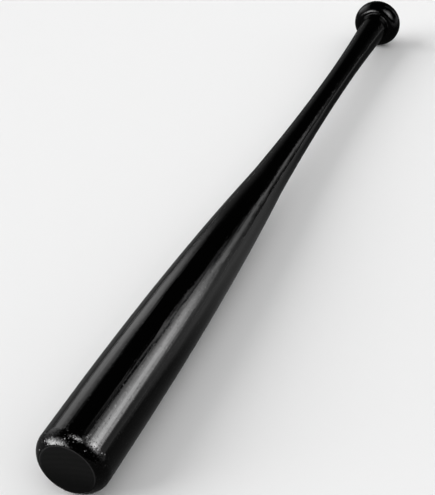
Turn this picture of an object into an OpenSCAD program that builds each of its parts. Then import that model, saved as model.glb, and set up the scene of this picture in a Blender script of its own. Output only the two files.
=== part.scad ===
// Wooden baseball bat, turned from one billet and finished in gloss black lacquer.
// The bat lies along X. The origin is the centre of the flat barrel end, and the knob points to +X.

/* [Bat] */
// Length from the flat barrel end to the flat knob end
bat_length = 762; // [711:1:864]

/* [Barrel] */
// Diameter of the barrel where it is fullest
barrel_d = 57.5; // [52:0.1:66]
// Distance from the barrel end over which the barrel keeps its full diameter
barrel_reach = 55; // [30:1:120]
// Diameter of the flat on the barrel end
end_flat_d = 44; // [30:0.1:46]
// Length of the rounded shoulder between the flat and the side of the barrel
shoulder_length = 11; // [6:0.5:20]

/* [Handle] */
// Distance from the barrel end to the waist, where the outline turns from bulging to hollow
waist_at = 387; // [340:1:430]
// Diameter at the waist
waist_d = 33.8; // [30:0.1:38]
// Length over which the two sweeps run into each other at the waist
waist_blend = 70; // [20:1:120]
// Distance from the barrel end to the thinnest place of the handle
grip_at = 597; // [550:1:640]
// Diameter of the handle at its thinnest place
grip_d = 23.3; // [21:0.1:27]

/* [Knob] */
// Diameter of the knob at its widest ring
knob_d = 52; // [44:0.1:56]
// Diameter of the handle where the knob starts to rise from it
knob_root_d = 30.2; // [27:0.1:34]
// Length of the small hollow between the handle and the knob's face
knob_hollow = 3; // [2:0.5:6]
// Length of the knob from its face to its widest ring
knob_rise = 10; // [6:0.5:14]
// Length of the knob from its widest ring to its end
knob_back = 11.5; // [6:0.5:16]
// Diameter of the flat on the knob end
knob_flat_d = 26; // [16:0.5:34]

/* [Finish] */
// Thickness of the black lacquer on the wood
black_coat = 0.25; // [0.2:0.05:0.5]
// Thickness of the clear gloss lacquer on the black
clear_coat = 0.25; // [0.2:0.05:0.5]

/* [Hidden] */

finish = black_coat + clear_coat;
knob_ring_at = bat_length - knob_back;
knob_face_at = knob_ring_at - knob_rise;
knob_root_at = knob_face_at - knob_hollow;

// Degrees of an ellipse that the shoulder takes up. At 90 it would meet the flat without a corner.
shoulder_turn = 58;

// Height of the hollow at the foot of the knob, as a share of its length.
hollow_height = 0.5;

// Radius at which the hollow ends and the knob's face stands square to the axis.
knob_face_r = knob_root_d / 2 + hollow_height * knob_hollow;

// Power that shapes the back of the knob: 2 is an ellipse, and a higher one is squarer.
back_roundness = 2.6;

// Counts of straight steps that draw each stretch of the outline.
shoulder_steps = 10;
side_steps = 48;
hollow_steps = 6;
rise_steps = 10;
back_steps = 10;
around = 96;

// 0 before the start of a blend, 1 after its end, and an even S between.
function ease(t) = t <= 0 ? 0 : t >= 1 ? 1 : t * t * (3 - 2 * t);

// The barrel's sweep: straight, then an arc that bulges down to the waist.
function barrel_sweep(x) =
    let (fall = (barrel_d - waist_d) / 2)
    x < barrel_reach
        ? barrel_d / 2
        : barrel_d / 2 - fall * pow((x - barrel_reach) / (waist_at - barrel_reach), 2);

// The handle's sweep: hollow arcs that meet at the thinnest place of the grip.
function handle_sweep(x) =
    let (far_at = x < grip_at ? waist_at : knob_root_at)
    let (far_d = x < grip_at ? waist_d : knob_root_d)
    (grip_d + (far_d - grip_d) * pow((x - grip_at) / (far_at - grip_at), 2)) / 2;

// Radius of the side of the bat at distance x from the barrel end.
function side_radius(x) =
    let (t = ease((x - waist_at) / waist_blend + 0.5))
    (1 - t) * barrel_sweep(x) + t * handle_sweep(x);

// Each stretch gives points [radius, distance along the bat], drawn in by depth below the surface.
function shoulder(depth) = [
    for (i = [shoulder_steps : -1 : 0])
        let (a = shoulder_turn * i / shoulder_steps)
        let (drop = (barrel_d - end_flat_d) / 2 - depth)
        [
            barrel_d / 2 - depth - drop * (1 - cos(a)) / (1 - cos(shoulder_turn)),
            shoulder_length - (shoulder_length - depth) * sin(a) / sin(shoulder_turn)
        ]
];

function side(depth) = [
    for (i = [1 : side_steps])
        let (x = shoulder_length + (knob_root_at - shoulder_length) * i / side_steps)
        [side_radius(x) - depth, x]
];

function hollow(depth) = [
    for (i = [1 : hollow_steps])
        let (t = i / hollow_steps)
        let (foot = knob_root_d / 2 - depth)
        [
            foot + (knob_face_r - foot) * t * t,
            knob_root_at + (knob_hollow + depth) * t * (2 - t)
        ]
];

function knob_front(depth) = [
    for (i = [1 : rise_steps])
        let (a = 90 * i / rise_steps)
        [
            knob_face_r + (knob_d / 2 - depth - knob_face_r) * sin(a),
            knob_ring_at - (knob_rise - depth) * cos(a)
        ]
];

function knob_rear(depth) = [
    for (i = [1 : back_steps])
        let (a = 90 * i / back_steps)
        let (out = (knob_d - knob_flat_d) / 2 - depth)
        [
            knob_flat_d / 2 + out * pow(cos(a), 2 / back_roundness),
            knob_ring_at + (knob_back - depth) * pow(sin(a), 2 / back_roundness)
        ]
];

// The outline of the turned surface, from the rim of the barrel flat to the rim of the knob flat.
function outline(depth) =
    concat(shoulder(depth), side(depth), hollow(depth), knob_front(depth), knob_rear(depth));

function backwards(points) = [for (i = [len(points) - 1 : -1 : 0]) points[i]];

// Turns a half outline about the bat's axis and lays it along X.
module turned(points) {
    rotate([0, 90, 0])
        rotate_extrude($fn = around)
            polygon(points);
}

// A film of finish between two depths below the surface, open at both flats.
module film(outer_depth, inner_depth) {
    turned(concat(outline(outer_depth), backwards(outline(inner_depth))));
}

// A disc of end seal as thick as the finish around it.
module end_disc(flat_d, start_at) {
    translate([start_at, 0, 0])
        rotate([0, 90, 0])
            cylinder(d = flat_d, h = finish, $fn = around);
}

// The one piece of wood, turned down under the finish.
module wood_billet() {
    color("burlywood")
        turned(concat([[0, finish]], outline(finish), [[0, bat_length - finish]]));
}

// Black colour coat over the shoulder, barrel, handle and knob.
module black_lacquer() {
    color([0.03, 0.03, 0.03])
        film(clear_coat, finish);
}

// Clear top coat that gives the turned surface its gloss.
module clear_gloss_lacquer() {
    color([0.06, 0.06, 0.07])
        film(0, clear_coat);
}

// Satin black seal on the end grain of the barrel.
module barrel_end_seal() {
    color([0.13, 0.13, 0.13])
        end_disc(end_flat_d, 0);
}

// Satin black seal on the end grain of the knob.
module knob_end_seal() {
    color([0.13, 0.13, 0.13])
        end_disc(knob_flat_d, bat_length - finish);
}

wood_billet();
black_lacquer();
clear_gloss_lacquer();
barrel_end_seal();
knob_end_seal();
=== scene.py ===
"""Turned wooden baseball bat in gloss black lacquer, lying on its side on a pale floor.

The bat lies along X. The flat barrel end is at the origin and the knob points to +X.
Sizes of the bat are written in millimetres, and MM turns them into metres.
"""

import math

import bpy
from mathutils import Euler, Matrix, Vector


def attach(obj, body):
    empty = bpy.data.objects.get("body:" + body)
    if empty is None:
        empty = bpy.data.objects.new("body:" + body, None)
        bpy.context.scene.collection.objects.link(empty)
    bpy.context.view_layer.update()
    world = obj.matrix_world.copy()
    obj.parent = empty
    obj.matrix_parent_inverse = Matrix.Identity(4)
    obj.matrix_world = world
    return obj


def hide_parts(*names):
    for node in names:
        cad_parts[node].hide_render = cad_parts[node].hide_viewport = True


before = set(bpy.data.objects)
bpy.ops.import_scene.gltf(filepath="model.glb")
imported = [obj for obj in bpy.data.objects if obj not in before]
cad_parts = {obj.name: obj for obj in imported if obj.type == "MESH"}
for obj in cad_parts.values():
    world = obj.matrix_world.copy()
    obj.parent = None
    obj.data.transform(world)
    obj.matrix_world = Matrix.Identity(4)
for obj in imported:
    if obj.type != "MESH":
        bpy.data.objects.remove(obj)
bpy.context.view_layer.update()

MM = 0.001

# The turned outline, as the solids have it. D is a diameter, R a radius, and AT a distance from the
# barrel end.
BAT_LENGTH = 762
BARREL_D = 57.5
BARREL_REACH = 55
END_FLAT_D = 44
SHOULDER_LENGTH = 11
# The shoulder turns this far towards the flat, and meets it at a soft corner.
SHOULDER_TURN = math.radians(58)
WAIST_AT = 387
WAIST_D = 33.8
WAIST_BLEND = 70
GRIP_AT = 597
GRIP_D = 23.3
KNOB_D = 52
KNOB_ROOT_D = 30.2
KNOB_HOLLOW = 3
KNOB_RISE = 10
KNOB_BACK = 11.5
KNOB_FLAT_D = 26
# Both coats of lacquer together
FINISH = 0.5
KNOB_RING_AT = BAT_LENGTH - KNOB_BACK
KNOB_FACE_AT = KNOB_RING_AT - KNOB_RISE
KNOB_ROOT_AT = KNOB_FACE_AT - KNOB_HOLLOW
# The hollow climbs by this share of its length.
HOLLOW_HEIGHT = 0.5
KNOB_FACE_R = KNOB_ROOT_D / 2 + HOLLOW_HEIGHT * KNOB_HOLLOW
# 2 would make the knob's back an ellipse, and more makes it fuller.
BACK_ROUNDNESS = 2.6

# The seam where each end seal meets the lacquer: a fine groove, with a rolled edge of lacquer
# on its outside and the seal's gently sanded crown on its inside
SEAM_DEPTH = 0.3
LACQUER_ROLL = 0.4
SEAL_CROWN = 2.5

# How finely the pieces are drawn: sides round the bat, steps in the shortest curve on the coat's
# outside and on its inside, steps in a rolled edge and in the crown, and rings on a seal's flat
# middle as shares of its radius. Then the sharpest edge that is smoothed over, and how close, in
# millimetres, two points are one.
AROUND = 144
OUTER_FINENESS = 12
INNER_FINENESS = 6
ROLL_STEPS = 5
CROWN_STEPS = 8
SEAL_RINGS = (0.3, 0.6, 0.85)
SHARPEST_SMOOTH_EDGE = math.radians(50)
SAME_POINT = 0.002


# Outline of the bat


def ease(t):
    """0 before the start of a blend, 1 after its end, and an even S between."""
    t = min(max(t, 0), 1)
    return t * t * (3 - 2 * t)


def barrel_sweep(x):
    """Radius of the barrel: straight, then an arc that bulges down to the waist."""
    if x < BARREL_REACH:
        return BARREL_D / 2
    fall = (BARREL_D - WAIST_D) / 2
    return BARREL_D / 2 - fall * ((x - BARREL_REACH) / (WAIST_AT - BARREL_REACH)) ** 2


def handle_sweep(x):
    """Radius of the handle: hollow arcs that meet at the thinnest place of the grip."""
    far_at, far_d = (WAIST_AT, WAIST_D) if x < GRIP_AT else (KNOB_ROOT_AT, KNOB_ROOT_D)
    return (GRIP_D + (far_d - GRIP_D) * ((x - GRIP_AT) / (far_at - GRIP_AT)) ** 2) / 2


def side_radius(x):
    """Radius anywhere between the shoulder and the knob: the two sweeps blend at the waist."""
    t = ease((x - WAIST_AT) / WAIST_BLEND + 0.5)
    return (1 - t) * barrel_sweep(x) + t * handle_sweep(x)


def shoulder(depth, steps):
    """Points (distance along the bat, radius) of the rounded shoulder, drawn in by depth."""
    drop = (BARREL_D - END_FLAT_D) / 2 - depth
    points = []
    for i in range(steps, -1, -1):
        a = SHOULDER_TURN * i / steps
        x = SHOULDER_LENGTH - (SHOULDER_LENGTH - depth) * math.sin(a) / math.sin(SHOULDER_TURN)
        r = BARREL_D / 2 - depth - drop * (1 - math.cos(a)) / (1 - math.cos(SHOULDER_TURN))
        points.append((x, r))
    return points


def side(depth, steps):
    """Points of the barrel, the taper and the handle."""
    points = []
    for i in range(1, steps + 1):
        x = SHOULDER_LENGTH + (KNOB_ROOT_AT - SHOULDER_LENGTH) * i / steps
        points.append((x, side_radius(x) - depth))
    return points


def hollow(depth, steps):
    """Points of the small hollow between the handle and the knob's face."""
    points = []
    for i in range(1, steps + 1):
        t = i / steps
        foot = KNOB_ROOT_D / 2 - depth
        x = KNOB_ROOT_AT + (KNOB_HOLLOW + depth) * t * (2 - t)
        points.append((x, foot + (KNOB_FACE_R - foot) * t * t))
    return points


def knob_front(depth, steps):
    """Points of the knob's face towards the hand, from the hollow to its widest ring."""
    points = []
    for i in range(1, steps + 1):
        a = math.pi / 2 * i / steps
        x = KNOB_RING_AT - (KNOB_RISE - depth) * math.cos(a)
        points.append((x, KNOB_FACE_R + (KNOB_D / 2 - depth - KNOB_FACE_R) * math.sin(a)))
    return points


def knob_rear(depth, steps):
    """Points of the knob's back, from its widest ring to the rim of its flat."""
    points = []
    for i in range(1, steps + 1):
        a = math.pi / 2 * i / steps
        across = (KNOB_D - KNOB_FLAT_D) / 2 - depth
        x = KNOB_RING_AT + (KNOB_BACK - depth) * math.sin(a) ** (2 / BACK_ROUNDNESS)
        r = KNOB_FLAT_D / 2 + across * max(math.cos(a), 0) ** (2 / BACK_ROUNDNESS)
        points.append((x, r))
    return points


def turned_outline(depth, fineness):
    """The whole turned surface, from the rim of the barrel flat to the rim of the knob flat. The
    hollow is its shortest curve, and the others have as many times its steps as they need."""
    return (
        shoulder(depth, 2 * fineness)
        + side(depth, 10 * fineness)
        + hollow(depth, fineness)
        + knob_front(depth, 2 * fineness)
        + knob_rear(depth, 2 * fineness)
    )


def rolled_edge(start, corner, end):
    """Points of a soft edge that leaves start towards the corner and then turns to end."""
    points = []
    for i in range(ROLL_STEPS + 1):
        t = i / ROLL_STEPS
        shares = ((1 - t) ** 2, 2 * t * (1 - t), t * t)
        x = sum(share * point[0] for share, point in zip(shares, (start, corner, end)))
        r = sum(share * point[1] for share, point in zip(shares, (start, corner, end)))
        points.append((x, r))
    return points


# Turning on the lathe


def turn_on_lathe(name, outline):
    """Draws a half outline point by point and spins it once round the bat's own axis."""
    bpy.ops.object.select_all(action="DESELECT")
    bpy.ops.mesh.primitive_plane_add(size=MM)
    piece = bpy.context.active_object
    piece.name = name
    piece.data.name = name
    bpy.ops.object.mode_set(mode="EDIT")
    bpy.ops.mesh.select_mode(type="VERT")
    bpy.ops.mesh.select_all(action="SELECT")
    bpy.ops.mesh.merge(type="CENTER")
    x, r = outline[0]
    bpy.ops.transform.translate(value=(x * MM, 0, r * MM))
    for next_x, next_r in outline[1:]:
        step = ((next_x - x) * MM, 0, (next_r - r) * MM)
        bpy.ops.mesh.extrude_region_move(TRANSFORM_OT_translate={"value": step})
        x, r = next_x, next_r
    bpy.ops.mesh.select_all(action="SELECT")
    bpy.ops.mesh.spin(steps=AROUND, angle=2 * math.pi, center=(0, 0, 0), axis=(1, 0, 0))
    bpy.ops.mesh.select_all(action="SELECT")
    bpy.ops.mesh.remove_doubles(threshold=SAME_POINT * MM)
    bpy.ops.mesh.normals_make_consistent(inside=False)
    bpy.ops.object.mode_set(mode="OBJECT")
    bpy.ops.object.shade_smooth_by_angle(angle=SHARPEST_SMOOTH_EDGE)
    return piece


def lacquer_coat():
    """Black and clear lacquer together: one skin over the turned wood, rolled over at both flats."""
    outer = turned_outline(0, OUTER_FINENESS)
    inner = turned_outline(FINISH, INNER_FINENESS)
    front = (0, END_FLAT_D / 2)
    rear = (BAT_LENGTH, KNOB_FLAT_D / 2)
    kept = [p for p in outer if min(math.dist(p, front), math.dist(p, rear)) > LACQUER_ROLL]
    front_edge = rolled_edge((SEAM_DEPTH, front[1]), front, kept[0])
    rear_edge = rolled_edge(kept[-1], rear, (BAT_LENGTH - SEAM_DEPTH, rear[1]))
    outline = inner[::-1] + front_edge + kept[1:-1] + rear_edge + inner[-1:]
    return turn_on_lathe("gloss_lacquer_coat", outline)


def end_seal(name, end_x, inwards, rim_d):
    """Disc of seal brushed on the end grain: flat in the middle, and falling away towards its rim."""
    rim_r = rim_d / 2
    outline = [(end_x, 0)]
    for share in SEAL_RINGS:
        outline.append((end_x, (rim_r - SEAL_CROWN) * share))
    for i in range(CROWN_STEPS + 1):
        t = i / CROWN_STEPS
        outline.append((end_x + inwards * SEAM_DEPTH * t * t, rim_r - SEAL_CROWN * (1 - t)))
    outline += [(end_x + inwards * FINISH, rim_r), (end_x + inwards * FINISH, 0)]
    return turn_on_lathe(name, outline)


# Materials

# An even S-shaped run from one level to another, as settings for a Map Range. Its inputs 1 and 2
# are where the run starts and ends, and 3 and 4 are the levels there.
SOFT_RUN = {"interpolation_type": "SMOOTHSTEP"}

# Sizes of the patterns in millimetres. Pores, facets and growth rings are drawn coarser than real
# ones, so that they show. Lots are drawn for the nibs from the facets' exact places, so facets of
# another size would give other nibs.
PORE_SPACING = 0.8
PORE_LENGTH = 160
ORANGE_PEEL = 3.03
FACET = 1 / 1.15
GROWTH_RING = 4.76
END_PORE = 0.714
FLECK_LENGTH = 16.7
FLECK_WIDTH = 0.667
PAPER_FIBRE = 2.5

# Heights of their relief in millimetres
GRAIN_RELIEF = 0.018
PEEL_RELIEF = 0.012
GROWTH_RELIEF = 0.01
END_PORE_RELIEF = 0.02
FLECK_RELIEF = 0.02
FIBRE_RELIEF = 0.01

# A Wave Texture repeats every tenth of pi in its own units.
WAVE_REPEAT = math.pi / 10

# The blank is split from the outside of a log, so its rings are arcs about a pith 90 mm away.
# They run nearly straight along the bat: the pattern is stretched 50 times that way. Flecks darken
# the wood by this share.
PITH_OFFSET = (0, 30 * MM, 85 * MM)
RING_STRETCH = 50
FLECK_SHARE = 0.35

# How far the lacquer's slope goes from one side to the other: on every facet, on a nib on top of
# that, and across a filled pore. Then the share of facets that are nibs.
FACET_LEAN = 0.1
NIB_LEAN = 0.6
PORE_LEAN = 0.06
NIB_CHANCE = 0.11

# End grain shows through fully up to the first distance from the barrel end, in millimetres, and
# has faded by the second to the share that is left along the side.
END_GRAIN_FULL = 8
END_GRAIN_FADED = 16
END_GRAIN_ON_SIDE = 0.15

# Distances from the axis, in millimetres, at which the end seal's painted sheen, a pale ring inside
# its rim, is gone and is full, on its inside and on its outside. Then the heights below which the
# seal is dark with painted shade and above which it is pale.
PAINTED_SHEEN_RING_INSIDE = (20.6, 21.3)
PAINTED_SHEEN_RING_OUTSIDE = (21.9, 21.5)
SEAL_PAINTED_SHADE_BELOW = -15
SEAL_PAINTED_LIGHT_ABOVE = 5


def linear(hex_colour):
    """sRGB hex to the linear colour that a shader takes."""
    values = [int(hex_colour[i : i + 2], 16) / 255 for i in (1, 3, 5)]
    return [v / 12.92 if v <= 0.04045 else ((v + 0.055) / 1.055) ** 2.4 for v in values] + [1]


def per_metre(size):
    """How many times a pattern of the given size in millimetres repeats in a metre."""
    return 1 / (size * MM)


def add_node(tree, kind, settings=None, links=None):
    """Adds a node, gives it its settings and inputs, and joins other nodes to its inputs, by the
    output that is given or by a node's first output."""
    node = tree.nodes.new(kind)
    for key, value in (settings or {}).items():
        if isinstance(key, int) or key in node.inputs:
            node.inputs[key].default_value = value
        else:
            setattr(node, key, value)
    for key, source in (links or {}).items():
        output = source.outputs[0] if isinstance(source, bpy.types.Node) else source
        tree.links.new(output, node.inputs[key])
    return node


def new_material(name):
    """A material with an empty node tree."""
    material = bpy.data.materials.new(name)
    material.use_nodes = True
    material.node_tree.nodes.clear()
    return material, material.node_tree


def gloss_black_lacquer():
    """Sprayed and polished black lacquer on filled hardwood: deep black with mirror-sharp
    reflections, whose edges break up a little where pores and end grain show through."""
    material, tree = new_material("gloss_black_lacquer")
    place = add_node(tree, "ShaderNodeTexCoord").outputs["Object"]

    # Filled pores run along the grain.
    pore_scale = (per_metre(PORE_LENGTH), per_metre(PORE_SPACING), per_metre(PORE_SPACING))
    along = add_node(tree, "ShaderNodeMapping", {"Scale": pore_scale}, {"Vector": place})
    grain = add_node(
        tree, "ShaderNodeTexNoise", {"Scale": 1, "Detail": 3, "Roughness": 0.6}, {"Vector": along}
    )
    # Orange peel left by the spray gun.
    peel = add_node(
        tree, "ShaderNodeTexNoise", {"Scale": per_metre(ORANGE_PEEL), "Detail": 1}, {"Vector": place}
    )

    # End grain shows through on the shoulder and hardly at all on the side. It leaves small facets
    # in the lacquer, each leaning its own way, and some lean far: these are nibs.
    x = add_node(tree, "ShaderNodeSeparateXYZ", links={0: place}).outputs["X"]
    on_shoulder = add_node(
        tree,
        "ShaderNodeMapRange",
        {**SOFT_RUN, 1: END_GRAIN_FULL * MM, 2: END_GRAIN_FADED * MM, 3: 1, 4: END_GRAIN_ON_SIDE},
        {0: x},
    )
    facets = add_node(tree, "ShaderNodeTexVoronoi", {"Scale": per_metre(FACET)}, {"Vector": place})
    either_way = add_node(
        tree,
        "ShaderNodeVectorMath",
        {"operation": "SUBTRACT", 1: (0.5, 0.5, 0.5)},
        {0: facets.outputs["Color"]},
    )
    chance = add_node(tree, "ShaderNodeTexWhiteNoise", links={"Vector": facets.outputs["Position"]})
    is_nib = add_node(
        tree,
        "ShaderNodeMath",
        {"operation": "GREATER_THAN", 1: 1 - NIB_CHANCE},
        {0: chance.outputs["Value"]},
    )
    lean = add_node(
        tree, "ShaderNodeMath", {"operation": "MULTIPLY_ADD", 1: NIB_LEAN, 2: FACET_LEAN}, {0: is_nib}
    )
    lean = add_node(tree, "ShaderNodeMath", {"operation": "MULTIPLY"}, {0: lean, 1: on_shoulder})
    facet_lean = add_node(
        tree, "ShaderNodeVectorMath", {"operation": "SCALE"}, {0: either_way, "Scale": lean}
    )

    # The lacquer leans a little to one side over each filled pore, which draws fine lines along
    # the streaks.
    pores = add_node(tree, "ShaderNodeTexVoronoi", {"Scale": 1}, {"Vector": along})
    pore_lean = add_node(
        tree,
        "ShaderNodeVectorMath",
        {
            "operation": "MULTIPLY_ADD",
            1: (0, PORE_LEAN, PORE_LEAN),
            2: (0, -PORE_LEAN / 2, -PORE_LEAN / 2),
        },
        {0: pores.outputs["Color"]},
    )
    surface = add_node(tree, "ShaderNodeNewGeometry").outputs["Normal"]
    for leaning in (facet_lean, pore_lean):
        surface = add_node(
            tree, "ShaderNodeVectorMath", {"operation": "ADD"}, {0: surface, 1: leaning}
        )
    surface = add_node(tree, "ShaderNodeVectorMath", {"operation": "NORMALIZE"}, {0: surface})
    for height, distance in ((grain, GRAIN_RELIEF), (peel, PEEL_RELIEF)):
        surface = add_node(
            tree,
            "ShaderNodeBump",
            {"Strength": 1, "Distance": distance * MM},
            {"Height": height, "Normal": surface},
        )

    shader = add_node(
        tree,
        "ShaderNodeBsdfPrincipled",
        {"Base Color": linear("#020202"), "IOR": 1.4, "Roughness": 0.05},
        {"Normal": surface},
    )
    add_node(tree, "ShaderNodeOutputMaterial", links={"Surface": shader})
    return material


def satin_end_seal():
    """Brushed-on satin seal over sawn and sanded end grain: dark, soft sheen, with the growth rings
    and pores showing faintly. Painted shade darkens its lower side, and a painted sheen lightens a
    thin ring inside its upper rim."""
    material, tree = new_material("satin_black_end_seal")
    place = add_node(tree, "ShaderNodeTexCoord").outputs["Object"]
    centred = add_node(
        tree, "ShaderNodeMapping", {"Location": PITH_OFFSET, "Scale": (0, 1, 1)}, {"Vector": place}
    )
    growth = add_node(
        tree,
        "ShaderNodeTexWave",
        {
            "wave_type": "RINGS",
            "rings_direction": "X",
            "Scale": WAVE_REPEAT * per_metre(GROWTH_RING),
            "Distortion": 0.6,
        },
        {"Vector": centred},
    ).outputs["Fac"]
    pores = add_node(
        tree,
        "ShaderNodeTexNoise",
        {"Scale": per_metre(END_PORE), "Detail": 2, "Roughness": 0.6},
        {"Vector": place},
    )
    relief = add_node(
        tree, "ShaderNodeBump", {"Strength": 1, "Distance": GROWTH_RELIEF * MM}, {"Height": growth}
    )
    relief = add_node(
        tree,
        "ShaderNodeBump",
        {"Strength": 1, "Distance": END_PORE_RELIEF * MM},
        {"Height": pores, "Normal": relief},
    )
    tone = add_node(
        tree,
        "ShaderNodeMix",
        {"data_type": "RGBA", 6: linear("#0e0e0e"), 7: linear("#131313")},
        {0: growth},
    )

    # A painted sheen: a thin ring just inside the rim is painted paler, as where the rim catches the
    # light.
    off_axis = add_node(
        tree, "ShaderNodeVectorMath", {"operation": "MULTIPLY", 1: (0, 1, 1)}, {0: place}
    )
    radius = add_node(tree, "ShaderNodeVectorMath", {"operation": "LENGTH"}, {0: off_axis})
    # Painted shade: the seal is darker towards the side that the bat lies on, and its painted sheen
    # ring shows only on the upper side.
    height = add_node(tree, "ShaderNodeSeparateXYZ", links={0: place}).outputs["Z"]
    painted_light_above = add_node(
        tree,
        "ShaderNodeMapRange",
        {**SOFT_RUN, 1: SEAL_PAINTED_SHADE_BELOW * MM, 2: SEAL_PAINTED_LIGHT_ABOVE * MM, 3: 0, 4: 1},
        {0: height},
    )
    painted_sheen_ring = painted_light_above
    for none_at, full_at in (PAINTED_SHEEN_RING_INSIDE, PAINTED_SHEEN_RING_OUTSIDE):
        edge = add_node(
            tree,
            "ShaderNodeMapRange",
            {**SOFT_RUN, 1: none_at * MM, 2: full_at * MM, 3: 0, 4: 1},
            {0: radius.outputs["Value"]},
        )
        painted_sheen_ring = add_node(tree, "ShaderNodeMath", {"operation": "MULTIPLY"}, {0: painted_sheen_ring, 1: edge})
    # Painted shade: towards the bottom the colour goes to near black.
    tone = add_node(
        tree,
        "ShaderNodeMix",
        {"data_type": "RGBA", 6: linear("#060606")},
        {0: painted_light_above, 7: tone.outputs[2]},
    )
    # Painted sheen: in the ring the colour goes to a pale grey.
    tone = add_node(
        tree,
        "ShaderNodeMix",
        {"data_type": "RGBA", 7: linear("#2a2a2a")},
        {0: painted_sheen_ring, 6: tone.outputs[2]},
    )
    shader = add_node(
        tree,
        "ShaderNodeBsdfPrincipled",
        {"IOR": 1.45, "Roughness": 0.38, "Specular IOR Level": 0.15},
        {"Normal": relief, "Base Color": tone.outputs[2]},
    )
    add_node(tree, "ShaderNodeOutputMaterial", links={"Surface": shader})
    return material


def turned_maple():
    """Sanded maple under the lacquer: pale brown, rings as long lines and small darker flecks."""
    material, tree = new_material("turned_maple")
    place = add_node(tree, "ShaderNodeTexCoord").outputs["Object"]
    centred = add_node(
        tree,
        "ShaderNodeMapping",
        {"Location": PITH_OFFSET, "Scale": (1 / RING_STRETCH, 1, 1)},
        {"Vector": place},
    )
    growth = add_node(
        tree,
        "ShaderNodeTexWave",
        {
            "wave_type": "RINGS",
            "rings_direction": "X",
            "Scale": WAVE_REPEAT * per_metre(GROWTH_RING),
            "Distortion": 1.2,
        },
        {"Vector": centred},
    ).outputs["Fac"]
    fleck_scale = (per_metre(FLECK_LENGTH), per_metre(FLECK_WIDTH), per_metre(FLECK_WIDTH))
    along = add_node(tree, "ShaderNodeMapping", {"Scale": fleck_scale}, {"Vector": place})
    flecks = add_node(tree, "ShaderNodeTexNoise", {"Scale": 1, "Detail": 3}, {"Vector": along})
    ringed = add_node(
        tree,
        "ShaderNodeMix",
        {"data_type": "RGBA", 6: linear("#d9b98c"), 7: linear("#b98d5c")},
        {0: growth},
    )
    tone = add_node(
        tree,
        "ShaderNodeMix",
        {"data_type": "RGBA", "blend_type": "MULTIPLY", 0: FLECK_SHARE},
        {6: ringed.outputs[2], 7: flecks.outputs["Color"]},
    )
    relief = add_node(
        tree, "ShaderNodeBump", {"Strength": 1, "Distance": FLECK_RELIEF * MM}, {"Height": flecks}
    )
    shader = add_node(
        tree,
        "ShaderNodeBsdfPrincipled",
        {"IOR": 1.5, "Roughness": 0.6},
        {"Base Color": tone.outputs[2], "Normal": relief},
    )
    add_node(tree, "ShaderNodeOutputMaterial", links={"Surface": shader})
    return material


def paint(piece, material):
    """Gives a piece one material all over."""
    piece.data.materials.clear()
    piece.data.materials.append(material)


# The bat

lacquer = gloss_black_lacquer()
seal = satin_end_seal()
maple = turned_maple()

coat = lacquer_coat()
paint(coat, lacquer)
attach(coat, "root")
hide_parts("black_lacquer", "clear_gloss_lacquer")

for name, node, end_x, inwards, rim_d in (
    ("barrel_end_seal_disc", "barrel_end_seal", 0, 1, END_FLAT_D),
    ("knob_end_seal_disc", "knob_end_seal", BAT_LENGTH, -1, KNOB_FLAT_D),
):
    disc = end_seal(name, end_x, inwards, rim_d)
    paint(disc, seal)
    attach(disc, "root")
    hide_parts(node)

for node_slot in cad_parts["wood_billet"].material_slots:
    node_slot.material = maple


# The floor, and the glowing sheet of painted reflection that the gloss mirrors. From here on sizes
# are metres.

# The bat rests on its barrel and its knob, so the floor leans a quarter of a degree. It is so wide
# that its edge stays out of sight from low down.
FLOOR_UNDER_BARREL_END = -0.029
FLOOR_LEAN = math.radians(0.227)
FLOOR_SIZE = 80
FLOOR_COLOUR = "#ececec"

# In the photograph the bat's flanks mirror something dark grey, most likely a sheet that it lay on.
# Here a glowing sheet that only the gloss sees paints that into them: a painted reflection with
# painted shade in it, so that the flanks stay as dark. It lies a hair above the pale floor.
SHEET_SIZE = 8
SHEET_ABOVE_FLOOR = 0.00005

# Levels of the sheet's glow, where 1 is white, matched to the flanks' grey in the photograph: on the
# right, darker as painted shade where the bat would shade it, and on the left, and from where to
# where it brightens across
SHEET_RIGHT_LEVEL = 0.08
SHEET_LEFT_LEVEL = 0.18
SHEET_BRIGHTENS = (-0.07, 0.15)
# Painted shade: it darkens to this share along the bat towards the knob
SHEET_KNOB_SHARE = 0.5
SHEET_DARKENS = (0.38, 0.6)
# A painted streak of light runs away from the taper to the right: where it starts, which way it runs,
# its level, how far out it fades in, and the cosines of the angles off its middle between which it
# rises. The second is out of reach, so that the streak has no flat top.
STREAK_START = (0.135, 0.03, 0)
STREAK_AZIMUTH = -39
STREAK_LEVEL = 0.58
STREAK_FADES_IN = (0.05, 0.4)
STREAK_EDGE = (0.87, 1.05)


def direction(azimuth, elevation):
    """Unit vector; azimuth turns from +X towards +Y, both in degrees."""
    a = math.radians(azimuth)
    e = math.radians(elevation)
    return Vector((math.cos(e) * math.cos(a), math.cos(e) * math.sin(a), math.sin(e)))


def matte_floor():
    """Matte white-grey studio paper: even and plain, with no sheen."""
    material, tree = new_material("matte_studio_paper")
    place = add_node(tree, "ShaderNodeTexCoord").outputs["Object"]
    fibres = add_node(
        tree, "ShaderNodeTexNoise", {"Scale": per_metre(PAPER_FIBRE), "Detail": 2}, {"Vector": place}
    )
    relief = add_node(
        tree, "ShaderNodeBump", {"Strength": 1, "Distance": FIBRE_RELIEF * MM}, {"Height": fibres}
    )
    shader = add_node(
        tree, "ShaderNodeBsdfDiffuse", {"Color": linear(FLOOR_COLOUR)}, {"Normal": relief}
    )
    add_node(tree, "ShaderNodeOutputMaterial", links={"Surface": shader})
    return material


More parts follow.
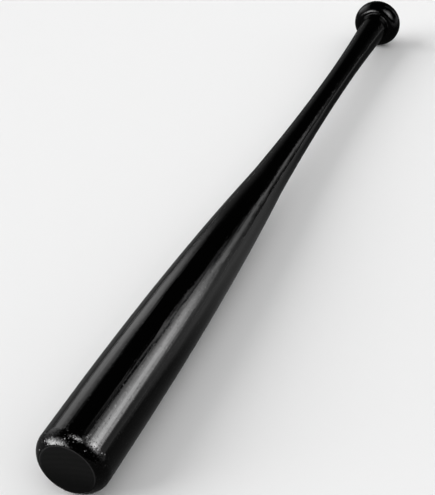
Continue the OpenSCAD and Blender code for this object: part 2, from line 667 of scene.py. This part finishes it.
def painted_reflection_sheet():
    """Painted reflection: a sheet that glows with what a matte grey sheet under the studio's light
    throws back, with painted shade on the right and towards the knob, and a painted streak of light.
    """
    material, tree = new_material("painted_reflection_sheet")
    place = add_node(tree, "ShaderNodeTexCoord").outputs["Object"]
    split = add_node(tree, "ShaderNodeSeparateXYZ", links={0: place})
    # Painted shade: the glow is darker on the right, where the bat would shade the sheet.
    start, end = SHEET_BRIGHTENS
    across = add_node(
        tree,
        "ShaderNodeMapRange",
        {**SOFT_RUN, 1: start, 2: end, 3: SHEET_RIGHT_LEVEL, 4: SHEET_LEFT_LEVEL},
        {0: split.outputs["Y"]},
    )
    # Painted shade: the glow darkens along the bat towards the knob.
    start, end = SHEET_DARKENS
    near_knob = add_node(
        tree,
        "ShaderNodeMapRange",
        {**SOFT_RUN, 1: start, 2: end, 3: 1, 4: SHEET_KNOB_SHARE},
        {0: split.outputs["X"]},
    )
    plain = add_node(tree, "ShaderNodeMath", {"operation": "MULTIPLY"}, {0: across, 1: near_knob})

    # A painted streak of light in the glow.
    from_start = add_node(
        tree, "ShaderNodeVectorMath", {"operation": "SUBTRACT", 1: STREAK_START}, {0: place}
    )
    towards = add_node(tree, "ShaderNodeVectorMath", {"operation": "NORMALIZE"}, {0: from_start})
    off_middle = add_node(
        tree,
        "ShaderNodeVectorMath",
        {"operation": "DOT_PRODUCT", 1: direction(STREAK_AZIMUTH, 0)},
        {0: towards},
    )
    start, end = STREAK_EDGE
    edge = add_node(
        tree,
        "ShaderNodeMapRange",
        {**SOFT_RUN, 1: start, 2: end, 3: 0, 4: STREAK_LEVEL},
        {0: off_middle.outputs["Value"]},
    )
    distance = add_node(tree, "ShaderNodeVectorMath", {"operation": "LENGTH"}, {0: from_start})
    start, end = STREAK_FADES_IN
    far = add_node(
        tree,
        "ShaderNodeMapRange",
        {**SOFT_RUN, 1: start, 2: end, 3: 0, 4: 1},
        {0: distance.outputs["Value"]},
    )
    streak = add_node(tree, "ShaderNodeMath", {"operation": "MULTIPLY"}, {0: edge, 1: far})
    level = add_node(tree, "ShaderNodeMath", {"operation": "ADD"}, {0: plain, 1: streak})
    # The sheet glows though it is no lamp: it is a painted reflection for the gloss.
    glow = add_node(tree, "ShaderNodeEmission", links={"Strength": level})
    add_node(tree, "ShaderNodeOutputMaterial", links={"Surface": glow})
    return material


bpy.ops.object.select_all(action="DESELECT")
bpy.ops.mesh.primitive_plane_add(size=FLOOR_SIZE)
floor = bpy.context.active_object
floor.name = "floor"
floor.location = (0, 0, FLOOR_UNDER_BARREL_END)
floor.rotation_euler = (0, -FLOOR_LEAN, 0)
paint(floor, matte_floor())

bpy.ops.object.select_all(action="DESELECT")
bpy.ops.mesh.primitive_plane_add(size=SHEET_SIZE)
sheet = bpy.context.active_object
sheet.name = "grey_sheet"
sheet.location = (0, 0, FLOOR_UNDER_BARREL_END + SHEET_ABOVE_FLOOR)
sheet.rotation_euler = floor.rotation_euler
# Only the gloss sees this glowing sheet of painted reflection.
sheet.visible_camera = False
sheet.visible_diffuse = False
sheet.visible_shadow = False
sheet.visible_transmission = False
paint(sheet, painted_reflection_sheet())


# Lights

# Every lamp is placed from here, the middle of the barrel. A sun lights alike from any distance.
BARREL_MIDDLE = Vector((0.15, 0, 0))
SUN_DISTANCE = 5


def add_lamp(name, kind, azimuth, elevation, distance, turn=0):
    """Adds a lamp in the given direction from the barrel, pointed at it and turned about its axis."""
    data = bpy.data.lights.new(name, kind)
    lamp = bpy.data.objects.new(name, data)
    bpy.context.scene.collection.objects.link(lamp)
    outwards = direction(azimuth, elevation)
    sideways = direction(azimuth + 90, 0)
    upwards = outwards.cross(sideways)
    facing = Matrix((sideways, upwards, outwards)).transposed()
    facing = facing @ Matrix.Rotation(math.radians(turn), 3, "Z")
    lamp.matrix_world = Matrix.Translation(BARREL_MIDDLE + distance * outwards) @ facing.to_4x4()
    return lamp


def sun(name, azimuth, elevation, width, strength):
    """Wide soft light that the gloss doesn't see, width degrees across."""
    lamp = add_lamp(name, "SUN", azimuth, elevation, SUN_DISTANCE)
    lamp.data.angle = math.radians(width)
    lamp.data.energy = strength
    lamp.visible_glossy = False


def softbox(name, azimuth, elevation, distance, turn, size, brightness, fades, grid):
    """Rectangular softbox, size metres wide and high, that fades over the given shares of its
    width and height: at its low-azimuth side, its high-azimuth side, its bottom and its top.
    Its honeycomb grid lets no light through at more than grid degrees from straight ahead.
    Brightness is the level of its middle, where 1 is white. Only the gloss sees it."""
    lamp = add_lamp(name, "AREA", azimuth, elevation, distance, turn)
    data = lamp.data
    data.shape = "RECTANGLE"
    data.size, data.size_y = size
    reach = math.radians(grid)
    data.spread = 2 * reach
    # The power for that brightness, less what the grid keeps back
    data.energy = brightness * math.pi * data.size * data.size_y * (1 - reach / math.tan(reach))
    data.use_nodes = True
    tree = data.node_tree
    tree.nodes.clear()
    across = add_node(tree, "ShaderNodeNewGeometry").outputs["Parametric"]
    place = add_node(tree, "ShaderNodeSeparateXYZ", links={0: across})
    strength = None
    for axis, dark_at, full_at in (
        ("X", 0, fades[0]),
        ("X", 1, 1 - fades[1]),
        ("Y", 0, fades[2]),
        ("Y", 1, 1 - fades[3]),
    ):
        fade = add_node(
            tree,
            "ShaderNodeMapRange",
            {**SOFT_RUN, 1: dark_at, 2: full_at, 3: 0, 4: 1},
            {0: place.outputs[axis]},
        )
        if strength:
            fade = add_node(tree, "ShaderNodeMath", {"operation": "MULTIPLY"}, {0: strength, 1: fade})
        strength = fade
    glow = add_node(tree, "ShaderNodeEmission", links={"Strength": strength})
    add_node(tree, "ShaderNodeOutputLight", links={"Surface": glow})
    lamp.visible_camera = False
    lamp.visible_diffuse = False


# The key is a wide soft source low on the left, and throws the bat's shadow to the right.
sun("key", azimuth=118, elevation=28, width=50, strength=3.2)

# The fill is the room's own light, and keeps the shadow from going black.
sun("fill", azimuth=-60, elevation=60, width=120, strength=2.1)

# The softboxes stand where the bat's surface mirrors them as the streaks of the photograph. Their
# places, sizes, fades, grids and brightness were fitted together, by least squares, to the grey
# levels of those streaks, and then rounded. The last two were made brighter. The real softboxes may
# have stood elsewhere.

# Large and high on the right of the barrel. It starts the streak with a patch of light on the
# shoulder, and puts one on the right of the knob.
softbox(
    "right_softbox",
    azimuth=-86,
    elevation=43.5,
    distance=0.65,
    turn=-6,
    size=(0.95, 0.95),
    brightness=27,
    fades=(0.95, 0.75, 0.65, 0.7),
    grid=76,
)
# Narrow and close on the right of the taper, with its long side nearly along the bat. It makes the
# bright streak along the barrel.
softbox(
    "right_softbox_2",
    azimuth=-62,
    elevation=35,
    distance=0.47,
    turn=60,
    size=(0.35, 0.9),
    brightness=16,
    fades=(0.55, 0.45, 0.35, 0.2),
    grid=35,
)
# Small and faint on the right of the handle. It softens the streak's upper edge and carries it on
# to the waist.
softbox(
    "right_panel",
    azimuth=-44,
    elevation=42,
    distance=0.67,
    turn=28,
    size=(0.3, 0.65),
    brightness=2.5,
    fades=(0.35, 0.15, 0.3, 0.65),
    grid=63,
)
# Long and thin, far beyond the knob. It draws the thin line along the streak's upper edge.
softbox(
    "right_strip",
    azimuth=-19,
    elevation=41.5,
    distance=2.3,
    turn=-10,
    size=(0.2, 1.6),
    brightness=6.7,
    fades=(0.95, 0.7, 0.65, 0.65),
    grid=27,
)
# Wide and dim on the left. It makes the broad even band along the left of the barrel.
softbox(
    "left_softbox",
    azimuth=78,
    elevation=25,
    distance=1.2,
    turn=8,
    size=(2.5, 1),
    brightness=1.7,
    fades=(0.2, 0.9, 0.35, 0.45),
    grid=83,
)
# Low on the right, far beyond the knob. It makes the second, thin streak, which runs from the
# waist along the handle.
softbox(
    "right_low_panel",
    azimuth=-28.5,
    elevation=16,
    distance=1.8,
    turn=-13,
    size=(0.4, 0.75),
    brightness=2.8,
    fades=(0.2, 0.1, 0.95, 0.6),
    grid=27,
)
# Low on the left, in front of the barrel end. It makes the bright patch on the left of the shoulder
# and the arc on the left of the knob.
softbox(
    "left_low_softbox",
    azimuth=132,
    elevation=7.5,
    distance=0.78,
    turn=44,
    size=(1.45, 0.8),
    brightness=42,
    fades=(0.6, 0.55, 0.55, 0.95),
    grid=42,
)
# Small and bright above the barrel end. It makes the crescent on top of the shoulder.
softbox(
    "top_softbox",
    azimuth=173,
    elevation=68.5,
    distance=0.46,
    turn=-3,
    size=(0.4, 0.23),
    brightness=38,
    fades=(0.75, 0.35, 0.45, 0.95),
    grid=32,
)


# The room

# Its walls are lit in a low belt. Levels count white as 1 and are matched to the photograph, and
# fades are elevations in degrees.
WALL_LEVEL = 0.5
WALL_FADE = (4, 20)
# Beyond the knob the belt is dimmer, more so on the right, and fades higher up. Its level changes
# with how far sideways one looks, and its edge is given as cosines of the angle off its middle.
FAR_RIGHT_LEVEL = 0.03
FAR_LEFT_LEVEL = 0.12
FAR_LEVEL_CHANGE = (-0.4, 0.3)
FAR_FADE = (10, 30)
FAR_AZIMUTH = 13
FAR_EDGE = (0.62, 0.71)
# Behind the camera the room is dark. This is how far along the bat one looks where it gets light.
BEHIND_EDGE = (-0.3, 0.1)


def studio_room():
    """Plain room round the bat, as the gloss mirrors it."""
    world = bpy.data.worlds.new("studio")
    world.use_nodes = True
    tree = world.node_tree
    tree.nodes.clear()
    look = add_node(tree, "ShaderNodeTexCoord").outputs["Generated"]
    split = add_node(tree, "ShaderNodeSeparateXYZ", links={0: look})
    belts = []
    for (start, end), level in ((WALL_FADE, WALL_LEVEL), (FAR_FADE, 1)):
        low = math.sin(math.radians(start))
        high = math.sin(math.radians(end))
        belts.append(
            add_node(
                tree,
                "ShaderNodeMapRange",
                {**SOFT_RUN, 1: low, 2: high, 3: level, 4: 0},
                {0: split.outputs["Z"]},
            )
        )
    wall, far_wall = belts
    start, end = FAR_LEVEL_CHANGE
    far_level = add_node(
        tree,
        "ShaderNodeMapRange",
        {**SOFT_RUN, 1: start, 2: end, 3: FAR_RIGHT_LEVEL, 4: FAR_LEFT_LEVEL},
        {0: split.outputs["Y"]},
    )
    far_wall = add_node(
        tree, "ShaderNodeMath", {"operation": "MULTIPLY"}, {0: far_wall, 1: far_level}
    )
    beyond_knob = add_node(
        tree,
        "ShaderNodeVectorMath",
        {"operation": "DOT_PRODUCT", 1: direction(FAR_AZIMUTH, 0)},
        {0: look},
    )
    start, end = FAR_EDGE
    far_share = add_node(
        tree,
        "ShaderNodeMapRange",
        {**SOFT_RUN, 1: start, 2: end, 3: 0, 4: 1},
        {0: beyond_knob.outputs["Value"]},
    )
    belt = add_node(
        tree, "ShaderNodeMix", {"data_type": "FLOAT"}, {0: far_share, 2: wall, 3: far_wall}
    )
    start, end = BEHIND_EDGE
    not_behind = add_node(
        tree,
        "ShaderNodeMapRange",
        {**SOFT_RUN, 1: start, 2: end, 3: 0, 4: 1},
        {0: split.outputs["X"]},
    )
    level = add_node(tree, "ShaderNodeMath", {"operation": "MULTIPLY"}, {0: belt, 1: not_behind})
    background = add_node(
        tree, "ShaderNodeBackground", {"Color": linear("#ffffff")}, {"Strength": level}
    )
    add_node(tree, "ShaderNodeOutputWorld", links={"Surface": background})
    return world


scene = bpy.context.scene
scene.world = studio_room()
scene.view_settings.view_transform = "Standard"


# The camera, where the photograph was taken from

# Fitted together with the outline to the bat's edges in the photograph. Metres, degrees, and
# millimetres for the lens and the sensor
CAMERA_AT = (-0.4899, -0.3150, 0.6114)
CAMERA_LOOKS_DOWN = 36.348
CAMERA_HEADING = 22.514
CAMERA_LENS = 87.27
CAMERA_SENSOR = 36

camera_data = bpy.data.cameras.new("camera")
camera_data.lens = CAMERA_LENS
camera_data.sensor_width = CAMERA_SENSOR
camera = bpy.data.objects.new("camera", camera_data)
scene.collection.objects.link(camera)
camera.location = CAMERA_AT
camera.rotation_euler = Euler(
    (math.radians(90 - CAMERA_LOOKS_DOWN), 0, math.radians(CAMERA_HEADING - 90))
)
scene.camera = camera

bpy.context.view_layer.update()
